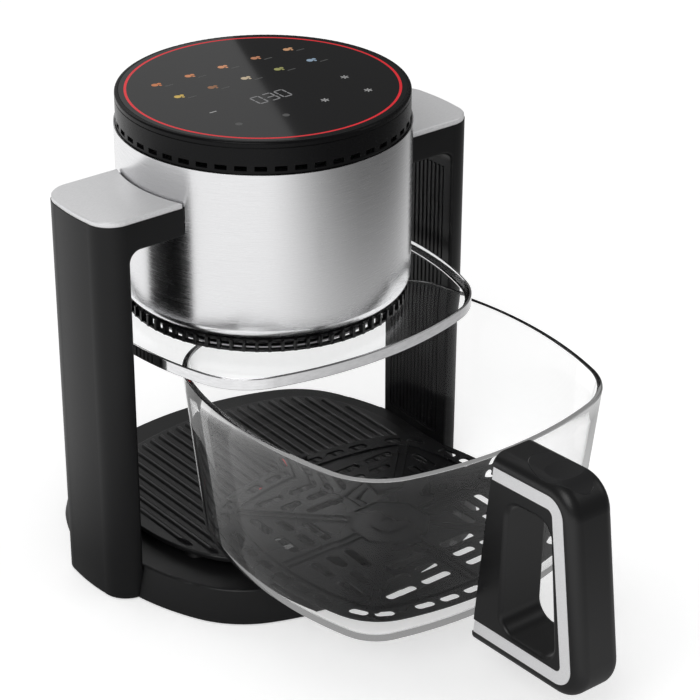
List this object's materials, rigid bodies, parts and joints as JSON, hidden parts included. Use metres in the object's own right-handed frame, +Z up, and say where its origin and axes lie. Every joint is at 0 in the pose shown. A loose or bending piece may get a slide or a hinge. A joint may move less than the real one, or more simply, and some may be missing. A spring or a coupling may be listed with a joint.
{
  "type": "air fryer oven",
  "caption": "Countertop air fryer oven with a steel heater drum held between two pillars over a base, and a glass bowl with a handle that slides out below it.",
  "frame": {"origin": "on the drum's vertical axis at the table plane, on the rubber feet's underside", "axes": "+Z up, +X towards the right pillar seen from the front, -Y towards the user, the way the bowl slides out"},
  "size_m": [0.3366, 0.5174, 0.3546],
  "materials": {
    "black_plastic": "satin",
    "base_plastic": "satin",
    "tray_coating": "satin",
    "rubber_foot": "matte",
    "silicone": "matte",
    "red_mark": "gloss",
    "screw_steel": "satin",
    "bright_steel": "polished",
    "drum_steel": "brushed",
    "inner_steel": "satin",
    "cap_aluminium": "satin",
    "band_aluminium": "satin",
    "clear_glass": "clear",
    "display_black": "gloss",
    "glow_red": "gloss",
    "light_pipe": "gloss",
    "circuit_board": "gloss",
    "digit_module": "gloss",
    "crisper_coating": "satin",
    "grey_button": "matte"
  },
  "bodies": {
    "housing": {"base_cover": "base_plastic", "base_bottom": "base_plastic", "base_bosses": "base_plastic", "base_screws": "screw_steel", "base_feet": "rubber_foot", "cord_gland": "silicone", "ribbed_tray": "tray_coating", "tray_feet": "base_plastic", "dock_mark": "red_mark", "left_pillar_shell": "black_plastic", "right_pillar_shell": "black_plastic", "left_pillar_panel": "black_plastic", "right_pillar_panel": "black_plastic", "left_pillar_cap": "cap_aluminium", "right_pillar_cap": "cap_aluminium", "left_arm_bracket": "inner_steel", "right_arm_bracket": "inner_steel", "drum_shell": "drum_steel", "heater_pan": "inner_steel", "heating_element": "inner_steel", "heater_guard": "bright_steel", "vent_cage": "black_plastic", "glass_lid": "clear_glass", "lid_rim": "bright_steel", "lid_retainer": "inner_steel", "motor_can": "inner_steel", "motor_bracket": "inner_steel", "upper_deck": "inner_steel", "power_board": "circuit_board", "cap_ring": "black_plastic", "display_glass": "display_black", "light_ring": "glow_red", "light_guide": "light_pipe", "control_board": "circuit_board", "digit_display": "digit_module"},
    "rotor": {"motor_shaft": "screw_steel", "convection_fan": "inner_steel", "cooling_fan": "black_plastic", "fan_nut": "screw_steel"},
    "drawer": {"glass_bowl": "clear_glass", "handle_loop": "black_plastic", "left_handle_band": "band_aluminium", "right_handle_band": "band_aluminium", "button_dome": "silicone"},
    "crisper": {"crisper_plate": "crisper_coating", "crisper_bumpers": "silicone"},
    "button": {"release_button": "grey_button"}
  },
  "joints": [
    {"name": "drawer_slide", "type": "slide", "parent": "housing", "child": "drawer", "axis": [0, -1, 0], "range_m": [-0.1393, 0.13]},
    {"name": "crisper_lift", "type": "slide", "parent": "drawer", "child": "crisper", "axis": [0, 0, 1], "range_m": [0, 0.11]},
    {"name": "button_press", "type": "slide", "parent": "drawer", "child": "button", "axis": [0, 0, -1], "range_m": [0, 0.0025], "stiffness_N_per_m": 900, "deforming": ["button_dome"]},
    {"name": "fan_spin", "type": "hinge", "parent": "housing", "child": "rotor", "pos_m": [0, 0, 0.25], "axis": [0, 0, 1], "continuous": true}
  ]
}
